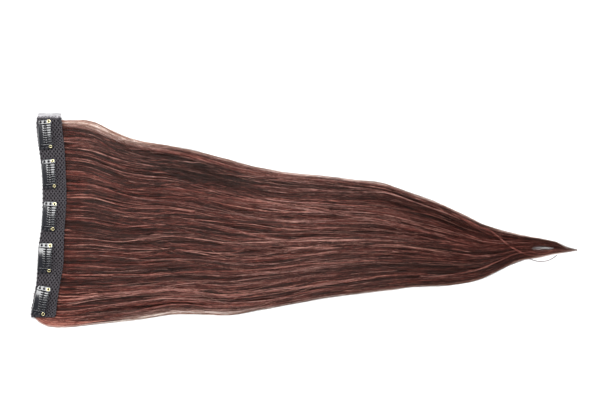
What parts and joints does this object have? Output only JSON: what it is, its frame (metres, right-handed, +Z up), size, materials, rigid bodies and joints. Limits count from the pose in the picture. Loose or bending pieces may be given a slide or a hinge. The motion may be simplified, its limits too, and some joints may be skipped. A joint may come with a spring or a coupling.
{
  "type": "clip in hair extension",
  "caption": "Fall of straight dark brown hair sewn under a net band that carries a row of snap comb clips, lying flat with its clips up.",
  "frame": {"origin": "on the table, under the middle of the net band", "axes": "+X from the band to the tip of the hair, +Y along the band, +Z up, away from the table and towards the clips"},
  "size_m": [0.5674, 0.2229, 0.0096],
  "materials": {
    "hair": "straight dark auburn brown hair with a soft gloss",
    "net": "black elastic net tape",
    "clip_steel": "glossy black enamel on spring steel",
    "sleeve_silicone": "black silicone tube, satin",
    "rivet_brass": "bright pale brass"
  },
  "bodies": {
    "weft": {"hair": "hair", "net_band": "net", "clip_1_frame": "clip_steel", "clip_1_sleeve": "sleeve_silicone", "clip_1_rivet_upper": "rivet_brass", "clip_1_rivet_lower": "rivet_brass", "clip_2_frame": "clip_steel", "clip_2_sleeve": "sleeve_silicone", "clip_2_rivet_upper": "rivet_brass", "clip_2_rivet_lower": "rivet_brass", "clip_3_frame": "clip_steel", "clip_3_sleeve": "sleeve_silicone", "clip_3_rivet_upper": "rivet_brass", "clip_3_rivet_lower": "rivet_brass", "clip_4_frame": "clip_steel", "clip_4_sleeve": "sleeve_silicone", "clip_4_rivet_upper": "rivet_brass", "clip_4_rivet_lower": "rivet_brass", "clip_5_frame": "clip_steel", "clip_5_sleeve": "sleeve_silicone", "clip_5_rivet_upper": "rivet_brass", "clip_5_rivet_lower": "rivet_brass"},
    "comb_1": {"clip_1_comb": "clip_steel"},
    "comb_2": {"clip_2_comb": "clip_steel"},
    "comb_3": {"clip_3_comb": "clip_steel"},
    "comb_4": {"clip_4_comb": "clip_steel"},
    "comb_5": {"clip_5_comb": "clip_steel"}
  },
  "joints": [
    {"name": "clip_1_snap", "type": "hinge", "parent": "weft", "child": "comb_1", "pos_m": [-0.01478, 0.08528, 0.00748], "axis": [0.0719, -0.9974, 0], "range_deg": [0, 35]},
    {"name": "clip_2_snap", "type": "hinge", "parent": "weft", "child": "comb_2", "pos_m": [-0.01081, 0.04433, 0.00748], "axis": [0.0705, -0.9975, 0], "range_deg": [0, 35]},
    {"name": "clip_3_snap", "type": "hinge", "parent": "weft", "child": "comb_3", "pos_m": [-0.0106, 0.0014, 0.00748], "axis": [-0.0679, -0.9977, 0], "range_deg": [0, 35]},
    {"name": "clip_4_snap", "type": "hinge", "parent": "weft", "child": "comb_4", "pos_m": [-0.01489, -0.04189, 0.00748], "axis": [-0.0473, -0.9989, 0], "range_deg": [0, 35]},
    {"name": "clip_5_snap", "type": "hinge", "parent": "weft", "child": "comb_5", "pos_m": [-0.01867, -0.08531, 0.00748], "axis": [-0.2058, -0.9786, 0], "range_deg": [0, 35]}
  ]
}
